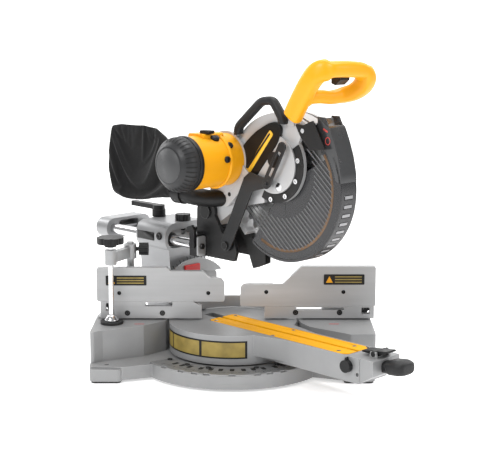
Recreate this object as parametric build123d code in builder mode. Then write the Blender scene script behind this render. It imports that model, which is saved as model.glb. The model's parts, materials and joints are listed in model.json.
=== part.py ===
"""Sliding compound mitre saw, modelled as its separate pieces.

Millimetres, +Z up.  The origin is on the bench, under the axis the turntable turns on.
+X runs along the fence to the operator's right, -Y points to the operator.
Everything that swings with the mitre is drawn facing -Y and then turned by MITRE.
Side views of the saw head use the SIDE plane: its first number is the distance to the
front and its second the height; the plane offset is the distance to the operator's left.
"""
import os
from math import cos, radians, sin

from build123d import *

os.makedirs("parts", exist_ok=True)

# ---- main sizes -------------------------------------------------------------
MITRE = 45.0
TABLE_Z = 89.0
BLADE_R = 127.0
ARBOR = (149.0, 363.0)
BOSS = (136.0, 403.0)
CHOP = (-36.0, 298.0)
MOTOR = (18.0, 402.0)
MOTOR_R = 48.0
LINK_FOOT = (23.0, 242.0)
LINK_PIN = (131.0, 368.0)

BASE_HALF = 262.0
BASE_Z = 4.0
DRUM_R = 121.0
RING_R = 178.0
RING_Z = 30.0
FOOT_X, FOOT_Y = 231.0, 100.0
FOOT_HOLE_R = 4.5

RAIL_R = 10.0
RAIL_X = 39.0
RAIL_Z = 233.0
RAIL_FRONT, RAIL_REAR = -45.0, -330.0
HOUSING_FRONT, HOUSING_REAR = -126.0, -212.0

KERF_HALF = 34.0
SLOT_HALF = 3.5
ARM_HALF = 37.0

SIDE = Plane(origin=(0, 0, 0), x_dir=(0, -1, 0), z_dir=(-1, 0, 0))
BEHIND = Plane(origin=(0, 0, 0), x_dir=(1, 0, 0), z_dir=(0, -1, 0))
CENTRED = (Align.CENTER, Align.CENTER)
FRONT_CORNERS = [(sx * FOOT_X, sy * FOOT_Y) for sx in (-1, 1) for sy in (-1, 1)]


def save(name, shape, turned=True):
    """Export one piece under its own name."""
    placed = shape.rotate(Axis.Z, MITRE) if turned else shape
    placed.label = name
    export_step(placed, f"parts/{name}.step")


def polar(centre, radius, angle):
    """Point at an angle (degrees, counter-clockwise) on a circle."""
    return (
        centre[0] + radius * cos(radians(angle)),
        centre[1] + radius * sin(radians(angle)),
    )


def slab(plane, points, thick, radius=0.0, mode=Mode.ADD):
    """Extrude a closed outline from a plane, optionally with rounded corners."""
    with BuildSketch(plane) as face:
        with BuildLine():
            Polyline(*points, close=True)
        make_face()
        if radius:
            fillet(face.vertices(), radius)
    extrude(face.sketch, amount=thick, mode=mode)


def disc(plane, centre, radius, thick, mode=Mode.ADD):
    """Extrude a round disc from a plane."""
    with BuildSketch(plane) as face:
        with Locations(centre):
            Circle(radius)
    extrude(face.sketch, amount=thick, mode=mode)


def rounded_box(plane, centre, width, height, thick, radius, mode=Mode.ADD):
    """Extrude a rectangle with rounded corners from a plane."""
    with BuildSketch(plane) as face:
        with Locations(centre):
            RectangleRounded(width, height, radius)
    extrude(face.sketch, amount=thick, mode=mode)


def star_knob(plane, centre, radius, thick, lobes):
    """Knob with finger hollows round its edge."""
    disc(plane, centre, radius, thick)
    for i in range(lobes):
        hollow = polar(centre, radius + 3.2, 360 * i / lobes)
        disc(plane, hollow, 5.0, thick, mode=Mode.SUBTRACT)


def left(offset):
    """Side-view plane at a distance to the operator's left of the blade."""
    return SIDE.offset(offset)


def facing(distance):
    """Front-view plane at a distance to the front (x to the right, y up)."""
    return BEHIND.offset(distance)


def level(height):
    """Horizontal plane at a height."""
    return Plane.XY.offset(height)


# ---- base -------------------------------------------------------------------
LEFT_BLOCK = [(-262, 46), (-262, -98), (-240, -80), (-167, -44), (-128, -4), (-118, 46)]
RIGHT_BLOCK = [(118, 46), (128, -20), (144, -53), (216, -108), (262, -108), (262, 46)]
LOWER_WALLS = [
    (-262, 60),
    (-262, -112),
    (-200, -118),
    (-150, -100),
    (150, -100),
    (200, -118),
    (262, -112),
    (262, 60),
    (128, 128),
    (-128, 128),
]
POST_SOCKET = (-197.0, 35.0)

with BuildPart() as base:
    slab(level(5), LOWER_WALLS, RING_Z - 5, radius=8)
    disc(level(5), (0, 0), RING_R, RING_Z - 5)
    with BuildSketch(level(5)) as rear_cut:
        with Locations((0, 128)):
            Rectangle(400, 120, align=(Align.CENTER, Align.MIN))
    extrude(rear_cut.sketch, amount=60, mode=Mode.SUBTRACT)
    for outline in (LEFT_BLOCK, RIGHT_BLOCK):
        slab(level(5), outline, TABLE_Z - 5, radius=5)
    for centre in FRONT_CORNERS:
        rounded_box(level(BASE_Z), centre, 60, 46, 22, 10)
    disc(level(RING_Z), (0, 0), DRUM_R + 2.5, 70, mode=Mode.SUBTRACT)
    # hollow underside with ribs
    with BuildSketch(level(3)) as hollow:
        Circle(RING_R - 10)
        Circle(46, mode=Mode.SUBTRACT)
        with Locations((0, 118)):
            Rectangle(400, 100, align=(Align.CENTER, Align.MIN), mode=Mode.SUBTRACT)
        for angle in (0, 50, 90, 130, 180, 230, 270, 310):
            with Locations(polar((0, 0), 120, angle)):
                Rectangle(150, 6, rotation=angle, mode=Mode.SUBTRACT)
    extrude(hollow.sketch, amount=RING_Z - 9, mode=Mode.SUBTRACT)
    for sign in (-1, 1):
        rounded_box(level(3), (sign * 222, -14), 56, 66, TABLE_Z - 12, 6, mode=Mode.SUBTRACT)
    for centre in FRONT_CORNERS:
        disc(level(3), centre, FOOT_HOLE_R, 40, mode=Mode.SUBTRACT)
    disc(level(40), POST_SOCKET, 7.05, 60, mode=Mode.SUBTRACT)
    disc(level(3), (0, 0), 15.05, 60, mode=Mode.SUBTRACT)
save("base_casting", base.part, turned=False)

with BuildPart() as pads:
    for centre in FRONT_CORNERS:
        rounded_box(level(0), centre, 54, 40, 4, 8)
        disc(level(0), centre, FOOT_HOLE_R, 4, mode=Mode.SUBTRACT)
save("foot_pads", pads.part, turned=False)

DETENTS = (-45, -31.6, -22.5, -15, 0, 15, 22.5, 31.6, 45)
SCALE_SCREWS = (-56, -36, -18, 18, 36, 56)
with BuildPart() as miter_scale:
    with BuildSketch(level(RING_Z)) as scale_face:
        Circle(RING_R)
        Circle(DRUM_R + 4, mode=Mode.SUBTRACT)
        Rectangle(400, 400, align=(Align.CENTER, Align.MIN), mode=Mode.SUBTRACT)
        for sign in (-1, 1):
            with BuildLine():
                wing = [(60, 10), (250, 10), (250, -152), (109, -66)]
                Polyline(*[(sign * x, y) for x, y in wing], close=True)
            make_face(mode=Mode.SUBTRACT)
        for angle in DETENTS:
            with Locations(polar((0, 0), RING_R, angle - 90)):
                Rectangle(12, 9, rotation=angle, mode=Mode.SUBTRACT)
        for angle in SCALE_SCREWS:
            with Locations(polar((0, 0), 140, angle - 90)):
                Circle(2.6, mode=Mode.SUBTRACT)
    extrude(scale_face.sketch, amount=3)
save("miter_scale", miter_scale.part, turned=False)

with BuildPart() as base_screws:
    for angle in SCALE_SCREWS:
        place = polar((0, 0), 140, angle - 90)
        disc(level(RING_Z), place, 2.4, 3)
        disc(level(RING_Z + 3), place, 4.6, 2.2)
        disc(level(RING_Z + 4), place, 1.8, 1.2, mode=Mode.SUBTRACT)
save("scale_screws", base_screws.part, turned=False)

# ---- fences -----------------------------------------------------------------
FENCE_FOOT = TABLE_Z + 3
FENCE_BACK = 14.0
SLOPE = 1.3
FIXED_LEFT_TOP, FIXED_RIGHT_TOP = 124.3, 114.8
LEFT_FACE = [(-252, FENCE_FOOT), (-17, FENCE_FOOT), (-76, FIXED_LEFT_TOP), (-252, FIXED_LEFT_TOP)]
RIGHT_FACE = [(268, FENCE_FOOT), (23.6, FENCE_FOOT), (45.5, FIXED_RIGHT_TOP), (268, FIXED_RIGHT_TOP)]
FENCE_SCREWS = [(-201, 102), (-134.5, 102), (118.8, 103), (202.5, 103)]
KNOB_PLACES = {"left": (-236.0, 114.0), "right": (252.0, 106.5)}


def bevel_end(tip, sign, bottom, top):
    """Cut a fence end back so that the swung blade passes it."""
    run = FENCE_BACK * 3
    outline = [(tip, -1), (tip, 0), (tip + sign * run * SLOPE, run), (-sign * 60, run), (-sign * 60, -1)]
    slab(level(bottom), outline, top - bottom, mode=Mode.SUBTRACT)


with BuildPart() as fixed_fence:
    slab(facing(-FENCE_BACK), LEFT_FACE, FENCE_BACK)
    slab(facing(-FENCE_BACK), RIGHT_FACE, FENCE_BACK)
    bevel_end(-17, -1, FENCE_FOOT - 1, 130)
    bevel_end(23.6, 1, FENCE_FOOT - 1, 130)
    # feet on the base, and the bridge that passes behind the turntable
    with BuildSketch(level(TABLE_Z)) as feet:
        for sign in (-1, 1):
            with Locations((sign * 195, 28)):
                Rectangle(126, 30)
    extrude(feet.sketch, amount=3)
    with BuildSketch(level(TABLE_Z + 3)) as arch:
        Circle(106)
        Circle(95, mode=Mode.SUBTRACT)
        Rectangle(320, 180, align=(Align.CENTER, Align.MAX), mode=Mode.SUBTRACT)
        for sign in (-1, 1):
            with Locations((sign * 195, 28)):
                Rectangle(50, 30)
    extrude(arch.sketch, amount=22)
    disc(level(TABLE_Z - 2), POST_SOCKET, 9, 60, mode=Mode.SUBTRACT)
    # slits, pockets and screw holes of the face
    for centre, width, height in (
        ((-141, 119), 52, 8),
        ((166, 110.5), 92, 5.4),
        ((-236, 114), 12, 15),
        ((252, 106.5), 16, 13),
    ):
        rounded_box(facing(-FENCE_BACK - 30), centre, width, height, 60, 2, mode=Mode.SUBTRACT)
    for centre in FENCE_SCREWS:
        disc(facing(-60), centre, 3.4, 70, mode=Mode.SUBTRACT)
        disc(facing(-4), centre, 5.6, 6, mode=Mode.SUBTRACT)
save("fixed_fence", fixed_fence.part, turned=False)

with BuildPart() as fence_screws:
    for centre in FENCE_SCREWS:
        disc(facing(-22), centre, 3.3, 18)
        disc(facing(-4), centre, 5.4, 3)
        disc(facing(-2.6), centre, 2.2, 3, mode=Mode.SUBTRACT)
save("fence_screws", fence_screws.part, turned=False)

LEFT_TOP = [
    (-258.6, 124.7),
    (-16, 124.7),
    (-16, 163),
    (-22, 170),
    (-45, 170),
    (-58.6, 183),
    (-119, 183),
    (-124.7, 190),
    (-258.6, 190),
]
RIGHT_TOP = [
    (270.5, 115.2),
    (13.9, 115.2),
    (13.9, 153),
    (20, 158.6),
    (94.7, 158.6),
    (129.7, 192.6),
    (270.5, 192.6),
]


def sliding_fence(name, outline, tip, sign, holes):
    """Upper fence that can be drawn sideways out of the blade's way."""
    with BuildPart() as slider:
        slab(facing(-FENCE_BACK), outline, FENCE_BACK, radius=4)
        bevel_end(tip, sign, 110, 200)
        middle = (outline[0][0] + sign * -110, outline[0][1] + 34)
        rounded_box(facing(-FENCE_BACK - 1), middle, 170, 46, 8, 5, mode=Mode.SUBTRACT)
        for centre in holes:
            disc(facing(-60), centre, 4, 70, mode=Mode.SUBTRACT)
    save(name, slider.part, turned=False)


sliding_fence("sliding_fence_left", LEFT_TOP, -16, -1, [(-216, 141), (-47, 141)])
sliding_fence("sliding_fence_right", RIGHT_TOP, 13.9, 1, [(63, 143), (209.4, 143)])

for name, centre in KNOB_PLACES.items():
    with BuildPart() as fence_knob:
        star_knob(facing(-40), centre, 12, 11, 8)
        disc(facing(-29), centre, 4.0, 22)
    save(f"fence_knob_{name}", fence_knob.part, turned=False)

# ---- work clamp -------------------------------------------------------------
ROD = (-228.0, -26.0)
CLAMP_Z = (202.0, 230.0)
with BuildPart() as clamp_frame:
    disc(level(42), POST_SOCKET, 7, 192)
    disc(level(CLAMP_Z[0]), POST_SOCKET, 12, CLAMP_Z[1] - CLAMP_Z[0])
    disc(level(CLAMP_Z[0]), ROD, 11, CLAMP_Z[1] - CLAMP_Z[0])
    with BuildSketch(level(CLAMP_Z[0] + 3)) as web:
        with Locations(((ROD[0] + POST_SOCKET[0]) / 2, (ROD[1] + POST_SOCKET[1]) / 2)):
            Rectangle(68, 13, rotation=63.1)
    extrude(web.sketch, amount=20)
    disc(level(CLAMP_Z[0] - 1), ROD, 5.05, 40, mode=Mode.SUBTRACT)
save("clamp_frame", clamp_frame.part, turned=False)

with BuildPart() as clamp_screw:
    disc(level(97), ROD, 5, 139)
    disc(level(98), ROD, 8, 8)
save("clamp_screw", clamp_screw.part, turned=False)

with BuildPart() as clamp_knob:
    disc(level(236), ROD, 11, 6)
    star_knob(level(242), ROD, 25, 12, 9)
save("clamp_knob", clamp_knob.part, turned=False)

with BuildPart() as clamp_pad:
    disc(level(TABLE_Z), ROD, 21.5, 5)
    disc(level(TABLE_Z + 5), ROD, 12, 3)
save("clamp_pad", clamp_pad.part, turned=False)

SCREW_Z = 220.0
EAST = Plane(origin=(0, 0, 0), x_dir=(0, 1, 0), z_dir=(1, 0, 0))
with BuildPart() as thumb_screw:
    disc(EAST.offset(POST_SOCKET[0] + 12), (POST_SOCKET[1], SCREW_Z), 4, 5)
    star_knob(EAST.offset(POST_SOCKET[0] + 17), (POST_SOCKET[1], SCREW_Z), 12, 18, 6)
save("clamp_thumb_screw", thumb_screw.part, turned=False)

# ---- turntable --------------------------------------------------------------
UPRIGHT_FRONT, UPRIGHT_REAR = -110.0, -118.0
UPRIGHT_R = 92.0
with BuildPart() as turntable:
    disc(level(RING_Z + 4.5), (0, 0), DRUM_R, TABLE_Z - RING_Z - 4.5)
    slab(level(44), [(-37, -90), (37, -90), (37, -345), (-37, -345)], TABLE_Z - 44)
    slab(level(50), [(-56, -98), (56, -98), (37, -178), (-37, -178)], TABLE_Z - 50)
    slab(left(-36), [(340, 46), (350, 48), (374, 62), (374, TABLE_Z), (340, TABLE_Z)], 72, radius=2)
    disc(level(5), (0, 0), 15, 40)
    # hollow arm and drum seen from below
    slab(level(40), [(-31, -130), (31, -130), (31, -335), (-31, -335)], 42, mode=Mode.SUBTRACT)
    with BuildSketch(level(30)) as drum_hollow:
        Circle(DRUM_R - 8)
        Circle(34, mode=Mode.SUBTRACT)
        for angle in (30, 90, 150, 210, 330):
            with Locations(polar((0, 0), 70, angle)):
                Rectangle(100, 6, rotation=angle, mode=Mode.SUBTRACT)
    extrude(drum_hollow.sketch, amount=48, mode=Mode.SUBTRACT)
    # rear upright that carries the bevel joint
    slab(facing(UPRIGHT_REAR), [(-32, 60), (32, 60), (32, 112), (-32, 112)], 8)
    with BuildSketch(facing(UPRIGHT_REAR)) as quadrant:
        with Locations((0, TABLE_Z)):
            Circle(UPRIGHT_R)
        with Locations((0, TABLE_Z + 20)):
            Rectangle(300, 200, align=(Align.CENTER, Align.MAX), mode=Mode.SUBTRACT)
        for sign in (-1, 1):
            with Locations((sign * 62, TABLE_Z)):
                Rectangle(300, 300, align=(Align.MIN if sign > 0 else Align.MAX, Align.CENTER), mode=Mode.SUBTRACT)
    extrude(quadrant.sketch, amount=8)
    # throat for the blade and seats for the kerf plates
    kerf_seat = [(-KERF_HALF, 34), (KERF_HALF, 34), (KERF_HALF, -314), (-KERF_HALF, -314)]
    slab(level(TABLE_Z - 4), kerf_seat, 5, radius=9, mode=Mode.SUBTRACT)
    slab(level(20), [(-11, 70), (11, 70), (11, -290), (-11, -290)], 80, radius=4, mode=Mode.SUBTRACT)
    disc(facing(UPRIGHT_REAR - 8), (0, TABLE_Z), 9.02, 26, mode=Mode.SUBTRACT)
    disc(left(34), (320, 72), 3.05, 6, mode=Mode.SUBTRACT)
    disc(left(33), (341, 60), 3.5, 6, mode=Mode.SUBTRACT)
    disc(facing(340), (0, 74), 6.05, 60, mode=Mode.SUBTRACT)
    for offset in (-19, 15):
        slab(left(offset), [(352, TABLE_Z - 1), (368, TABLE_Z - 1), (366, 100), (354, 100)], 4)
        disc(left(offset - 1), (360, 96.4), 5.05, 6, mode=Mode.SUBTRACT)
save("turntable", turntable.part)

KERF_SCREWS = {"left": [(-26, 20), (-29, -133), (-21, -285)], "right": [(26, 20), (26, -133), (21, -285)]}
for name, sign in (("left", -1), ("right", 1)):
    outline = [
        (sign * SLOT_HALF, 33),
        (sign * (KERF_HALF - 6), 33),
        (sign * (KERF_HALF - 0.5), 26),
        (sign * (KERF_HALF - 0.5), -300),
        (sign * (KERF_HALF - 10), -312),
        (sign * SLOT_HALF, -312),
    ]
    with BuildPart() as kerf:
        slab(level(TABLE_Z - 4), outline, 4)
        for centre in KERF_SCREWS[name]:
            disc(level(TABLE_Z - 2), centre, 4.1, 3, mode=Mode.SUBTRACT)
            disc(level(TABLE_Z - 5), centre, 2.1, 6, mode=Mode.SUBTRACT)
    save(f"kerf_plate_{name}", kerf.part)

with BuildPart() as kerf_screws:
    for centre in KERF_SCREWS["left"] + KERF_SCREWS["right"]:
        disc(level(TABLE_Z - 4), centre, 2, 2)
        disc(level(TABLE_Z - 2), centre, 4, 1.8)
        with BuildSketch(level(TABLE_Z - 1)) as cross:
            with Locations(centre):
                Rectangle(4.4, 0.9)
                Rectangle(0.9, 4.4)
        extrude(cross.sketch, amount=1, mode=Mode.SUBTRACT)
save("kerf_screws", kerf_screws.part)

with BuildPart() as lock_handle:
    disc(facing(352), (0, 74), 6, 24)
    with BuildSketch(Plane(origin=(0, 0, 74), x_dir=(0, -1, 0), z_dir=(-1, 0, 0))) as grip:
        with BuildLine():
            Polyline((376, 0), (376, 9), (384, 12), (412, 12.5), (420, 9), (420, 0), close=True)
        make_face()
    revolve(grip.sketch, axis=Axis((0, 0, 74), (0, 1, 0)))
    for i in range(8):
        disc(facing(382), polar((0, 74), 15.6, i * 45), 4.4, 30, mode=Mode.SUBTRACT)
save("miter_lock_handle", lock_handle.part)

with BuildPart() as latch:
    disc(left(-19), (360, 96.4), 5, 38)
    paddle = [(356, 93), (366, 92.5), (386, 101), (384, 104), (362, 101), (330, 97), (330, 94)]
    slab(left(-12), paddle, 24, radius=1)
save("detent_latch", latch.part)

with BuildPart() as nose_knob:
    disc(left(37.3), (320, 72), 11, 9)
    disc(left(34), (320, 72), 3, 4)
    slab(left(37.3), [(316, 72), (324, 72), (321, 88), (319, 88)], 7, radius=0.8)
save("nose_knob", nose_knob.part)

with BuildPart() as bevel_scale:
    with BuildSketch(facing(UPRIGHT_FRONT)) as arc_face:
        with Locations((0, TABLE_Z)):
            Circle(UPRIGHT_R + 12)
            Circle(UPRIGHT_R - 12, mode=Mode.SUBTRACT)
        with Locations((0, TABLE_Z + 72)):
            Rectangle(300, 200, align=(Align.CENTER, Align.MAX), mode=Mode.SUBTRACT)
    extrude(arc_face.sketch, amount=2)
save("bevel_scale", bevel_scale.part)

# ---- bearing housing --------------------------------------------------------
with BuildPart() as housing:
    with BuildSketch(facing(HOUSING_REAR)) as block:
        with Locations((0, RAIL_Z + 3)):
            RectangleRounded(118, 56, 24)
        with BuildLine():
            right_edge = [(50, 215), (44, 150), (36, 100), (24, 70)]
            left_edge = [(-24, 70), (-36, 100), (-44, 150), (-50, 215)]
            Polyline(*right_edge, *left_edge, close=True)
        make_face()
    extrude(block.sketch, amount=HOUSING_FRONT - HOUSING_REAR)
    rounded_box(facing(HOUSING_REAR - 1), (0, 130), 56, 90, 60, 6, mode=Mode.SUBTRACT)
    rounded_box(facing(HOUSING_FRONT - 14), (0, RAIL_Z), 104, 36, 20, 17, mode=Mode.SUBTRACT)
    for sign in (-1, 1):
        disc(facing(HOUSING_REAR - 1), (sign * RAIL_X, RAIL_Z), RAIL_R + 3, 100, mode=Mode.SUBTRACT)
    disc(facing(HOUSING_REAR - 1), (0, TABLE_Z), 9.02, 100, mode=Mode.SUBTRACT)
    disc(level(236), (0, 211), 6.05, 40, mode=Mode.SUBTRACT)
    disc(level(236), (0, 140), 5.05, 40, mode=Mode.SUBTRACT)
save("bearing_housing", housing.part)

with BuildPart() as bushes:
    for sign in (-1, 1):
        for start in (HOUSING_REAR, HOUSING_FRONT - 36):
            disc(facing(start), (sign * RAIL_X, RAIL_Z), RAIL_R + 3, 20)
            disc(facing(start - 1), (sign * RAIL_X, RAIL_Z), RAIL_R + 0.06, 24, mode=Mode.SUBTRACT)
save("rail_bushes", bushes.part)

with BuildPart() as bevel_bolt:
    disc(facing(HOUSING_REAR), (0, TABLE_Z), 9, UPRIGHT_FRONT - HOUSING_REAR)
    with BuildSketch(facing(HOUSING_REAR - 7)) as bolt_head:
        with Locations((0, TABLE_Z)):
            RegularPolygon(13, 6)
    extrude(bolt_head.sketch, amount=7)
save("bevel_bolt", bevel_bolt.part)

with BuildPart() as pointer:
    slab(facing(UPRIGHT_FRONT + 2.6), [(-18, 176), (-10, 176), (-14, 187)], 1)
    slab(facing(HOUSING_FRONT), [(-26, 197), (-2, 197), (-2, 204), (-26, 204)], 19)
    slab(facing(UPRIGHT_FRONT + 2.6), [(-22, 185), (-6, 185), (-2, 204), (-26, 204)], 3, radius=1)
save("bevel_pointer", pointer.part)

with BuildPart() as bevel_lever:
    disc(level(250), (0, 211), 6, 14.3)
    disc(level(264.3), (0, 211), 13.5, 14)
    with BuildSketch(level(278.3)) as arm:
        with Locations((0, 211)):
            Circle(12)
        with BuildLine():
            Polyline((-9, 211), (9, 211), (7, 284), (-7, 284), close=True)
        make_face()
        with Locations((0, 284)):
            Circle(8)
    extrude(arm.sketch, amount=9)
save("bevel_lever", bevel_lever.part)

with BuildPart() as rail_knob:
    disc(level(245), (0, 140), 5, 19.3)
    star_knob(level(264.3), (0, 140), 15, 13, 6)
save("rail_lock_knob", rail_knob.part)

# ---- sliding carriage -------------------------------------------------------
with BuildPart() as rails:
    for sign in (-1, 1):
        disc(facing(RAIL_REAR), (sign * RAIL_X, RAIL_Z), RAIL_R, RAIL_FRONT - RAIL_REAR)
        disc(facing(RAIL_REAR - 1), (sign * RAIL_X, RAIL_Z), RAIL_R - 3, 300, mode=Mode.SUBTRACT)
save("rails", rails.part)

with BuildPart() as end_cap:
    with BuildSketch(facing(-339)) as stadium:
        with Locations((0, RAIL_Z)):
            RectangleRounded(116, 40, 19.5)
    extrude(stadium.sketch, amount=34)
    rounded_box(facing(-334), (0, RAIL_Z), 52, 28, 40, 6, mode=Mode.SUBTRACT)
    for sign in (-1, 1):
        disc(facing(RAIL_REAR), (sign * RAIL_X, RAIL_Z), RAIL_R, 60, mode=Mode.SUBTRACT)
    slab(facing(-334), [(-26, 231), (26, 231), (26, 235), (-26, 235)], 26)
save("rail_end_cap", end_cap.part)

CHEEK_IN, CHEEK_OUT = 28.5, 36.0
CHEEK = [(-62, 213), (40, 213), (46, 232), (38, 254), (8, 262), (-14, 296), (-60, 296)]
with BuildPart() as trunnion:
    slab(left(-54), [(-62, 213), (-40, 213), (-40, 256), (-62, 256)], 108)
    for start in (CHEEK_IN, -CHEEK_OUT):
        slab(left(start), CHEEK, CHEEK_OUT - CHEEK_IN, radius=2)
        disc(left(start), CHOP, 24, CHEEK_OUT - CHEEK_IN)
    for sign in (-1, 1):
        disc(facing(-64), (sign * RAIL_X, RAIL_Z), RAIL_R, 19, mode=Mode.SUBTRACT)
    disc(left(-60), CHOP, 8.02, 120, mode=Mode.SUBTRACT)
    disc(left(20), LINK_FOOT, 4.02, 40, mode=Mode.SUBTRACT)
save("trunnion", trunnion.part)

with BuildPart() as pivot_pin:
    disc(left(-39), CHOP, 7.99, 78)
    for start in (CHEEK_OUT, -CHEEK_OUT - 3):
        disc(left(start), CHOP, 13, 3)
save("pivot_pin", pivot_pin.part)

with BuildPart() as rail_plate:
    slab(facing(-40), [(37, 215), (56, 215), (56, 252), (37, 252)], 4, radius=3)
    slab(facing(-40), [(-56, 215), (-37, 215), (-37, 252), (-56, 252)], 4, radius=3)
save("rail_clamp_plates", rail_plate.part)

with BuildPart() as carriage_bolts:
    for centre in ((47, 233), (-47, 233)):
        with BuildSketch(facing(-36)) as head_face:
            with Locations(centre):
                RegularPolygon(6, 6)
        extrude(head_face.sketch, amount=4)
save("carriage_bolts", carriage_bolts.part)

HOOK = (-50.0, 236.0)
with BuildPart() as hold_down_hook:
    disc(left(54.3), HOOK, 7, 6)
    claw = [(-56, 238), (-44, 238), (-42, 264), (-50, 273), (-62, 269), (-66, 260), (-60, 258), (-54, 262)]
    slab(left(54.3), claw, 6)
save("hold_down_hook", hold_down_hook.part)

# ---- saw head ---------------------------------------------------------------
WALL_IN, WALL_OUT = 21.0, 28.0


def ring_sector(inner, outer, start, stop):
    """Draw part of a ring round the arbor, between two angles, in the open sketch."""
    middle = (start + stop) / 2
    with BuildSketch() as face:
        with BuildLine():
            outer_arc = ThreePointArc(*[polar(ARBOR, outer, angle) for angle in (start, middle, stop)])
            inner_arc = ThreePointArc(*[polar(ARBOR, inner, angle) for angle in (stop, middle, start)])
            Line(outer_arc @ 1, inner_arc @ 0)
            Line(inner_arc @ 1, outer_arc @ 0)
        make_face()
    add(face.sketch_local)


def outline_face(points):
    """Draw a closed outline in the open sketch."""
    with BuildSketch() as face:
        with BuildLine():
            Polyline(*points, close=True)
        make_face()
    add(face.sketch_local)


ARM_SIDE = [(-62, 300), (-56, 276), (-20, 272), (30, 305), (30, 362), (-20, 345)]
GEARCASE = [(-30, 300), (110, 330), (110, 440), (60, 452), (-20, 440), (-34, 400)]
RIM_IN, RIM_OUT = 128.7, 131.5

with BuildPart() as head:
    # far wall, near wall, and the arm between them that stays clear of the blade
    with BuildSketch(left(-WALL_OUT)) as far_wall:
        ring_sector(60, RIM_OUT, 62, 207)
        ring_sector(110, 148, 177, 206)
        outline_face(ARM_SIDE)
        with Locations(CHOP):
            Circle(27)
    extrude(far_wall.sketch, amount=WALL_OUT - WALL_IN)
    with BuildSketch(left(-WALL_IN)) as arm_face:
        outline_face(ARM_SIDE)
        ring_sector(110, 148, 177, 206)
        ring_sector(110, 138, 177, 226)
        with Locations(CHOP):
            Circle(27)
        with Locations(ARBOR):
            Circle(RIM_IN, mode=Mode.SUBTRACT)
    extrude(arm_face.sketch, amount=2 * WALL_IN)
    with BuildSketch(left(-14)) as rim_face:
        ring_sector(RIM_IN, RIM_OUT, 62, 178)
    extrude(rim_face.sketch, amount=28)
    with BuildSketch(left(WALL_IN)) as near_wall:
        ring_sector(60, RIM_OUT, 62, 207)
        ring_sector(110, 148, 177, 206)
        outline_face(ARM_SIDE)
        outline_face(GEARCASE)
        for centre, radius in ((ARBOR, 27), (BOSS, 70), (CHOP, 27)):
            with Locations(centre):
                Circle(radius)
    extrude(near_wall.sketch, amount=WALL_OUT - WALL_IN)
    # boss, motor flange, duct stub and handle pad
    for centre, radius, height in ((BOSS, 53, 5), (MOTOR, MOTOR_R + 4, 7), ((25, 334), 15, 8)):
        disc(left(WALL_OUT), centre, radius, height)
    slab(left(WALL_OUT), [(168, 474), (184, 474), (184, 484), (172, 486)], 2.5)
    disc(left(-30), ARBOR, 8.05, 80, mode=Mode.SUBTRACT)
    disc(left(-30), CHOP, 8.05, 60, mode=Mode.SUBTRACT)
save("head_casting", head.part)

RING_SCREWS = [(195, 414), (190, 377), (165, 348), (130, 339)]
with BuildPart() as guard_ring:
    with BuildSketch(left(WALL_OUT)) as ring_face:
        with Locations(BOSS):
            Circle(70)
            Circle(53.3, mode=Mode.SUBTRACT)
        with BuildLine():
            Polyline(BOSS, polar(BOSS, 130, -116), polar(BOSS, 180, -40), polar(BOSS, 130, 34), close=True)
        make_face(mode=Mode.INTERSECT)
        with Locations(*RING_SCREWS):
            Circle(2.6, mode=Mode.SUBTRACT)
    extrude(ring_face.sketch, amount=2.5)
save("guard_retaining_ring", guard_ring.part)

with BuildPart() as cover_disc:
    disc(left(WALL_OUT + 5), (140, 411), 14, 3.5)
    disc(left(WALL_OUT + 7), (140, 411), 3, 2, mode=Mode.SUBTRACT)
save("spindle_lock_cap", cover_disc.part)

with BuildPart() as guard_bracket:
    plate = [(186, 478), (204, 476), (228, 486), (256, 437), (222, 434), (200, 455)]
    slab(left(WALL_OUT), plate, 2.5, radius=2)
save("guard_bracket", guard_bracket.part)

HANDLE_IN = 28.0
with BuildPart() as carry_handle:
    outside = [(44, 454), (46, 476), (106, 521), (140, 525), (167, 500), (165, 477), (134, 478), (100, 470)]
    opening = [(66, 470), (110, 504), (134, 508), (150, 494), (148, 485), (134, 488), (100, 480)]
    slab(left(HANDLE_IN), outside, 13, radius=4)
    slab(left(HANDLE_IN - 2), opening, 16, radius=2, mode=Mode.SUBTRACT)
save("carry_handle", carry_handle.part)

NEAR_ARM = [(168, 474), (206, 474), (240, 505), (282, 560), (284, 586), (262, 589), (232, 580), (196, 520)]
FAR_ARM = [(166, 472), (208, 472), (240, 505), (300, 566), (298, 589), (262, 589), (236, 580), (196, 520)]
BRIDGE = (236.0, 524.0)
GRIP = [(250, 562), (284, 562), (290, 578), (280, 590), (250, 588), (244, 574)]
with BuildPart() as grip_left:
    slab(left(30.5), NEAR_ARM, 20.5, radius=5)
    slab(left(0), GRIP, 34, radius=5)
    disc(left(0), BRIDGE, 11, 34)
with BuildPart() as grip_right:
    slab(left(-48), FAR_ARM, 19.9, radius=5)
    slab(left(-32), GRIP, 32, radius=5)
    disc(left(-32), BRIDGE, 11, 32)
for name, half in (("handle_left", grip_left), ("handle_right", grip_right)):
    with BuildPart() as shell:
        add(half.part)
        slab(left(-13), [(250, 556), (276, 556), (276, 574), (250, 574)], 26, mode=Mode.SUBTRACT)
    save(name, shell.part)

with BuildPart() as trigger:
    slab(left(-12), [(253, 550), (262, 547), (273, 556), (273, 572), (253, 572)], 24, radius=1.5)
save("trigger", trigger.part)

with BuildPart() as motor:
    disc(left(WALL_OUT + 7), MOTOR, MOTOR_R, 108)
    disc(left(WALL_OUT + 30), MOTOR, MOTOR_R + 1.2, 6)
    rounded_box(left(60), (MOTOR[0], MOTOR[1] + 40), 40, 24, 50, 5)
    disc(left(WALL_OUT + 12), MOTOR, MOTOR_R - 4, 120, mode=Mode.SUBTRACT)
save("motor_housing", motor.part)

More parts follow.
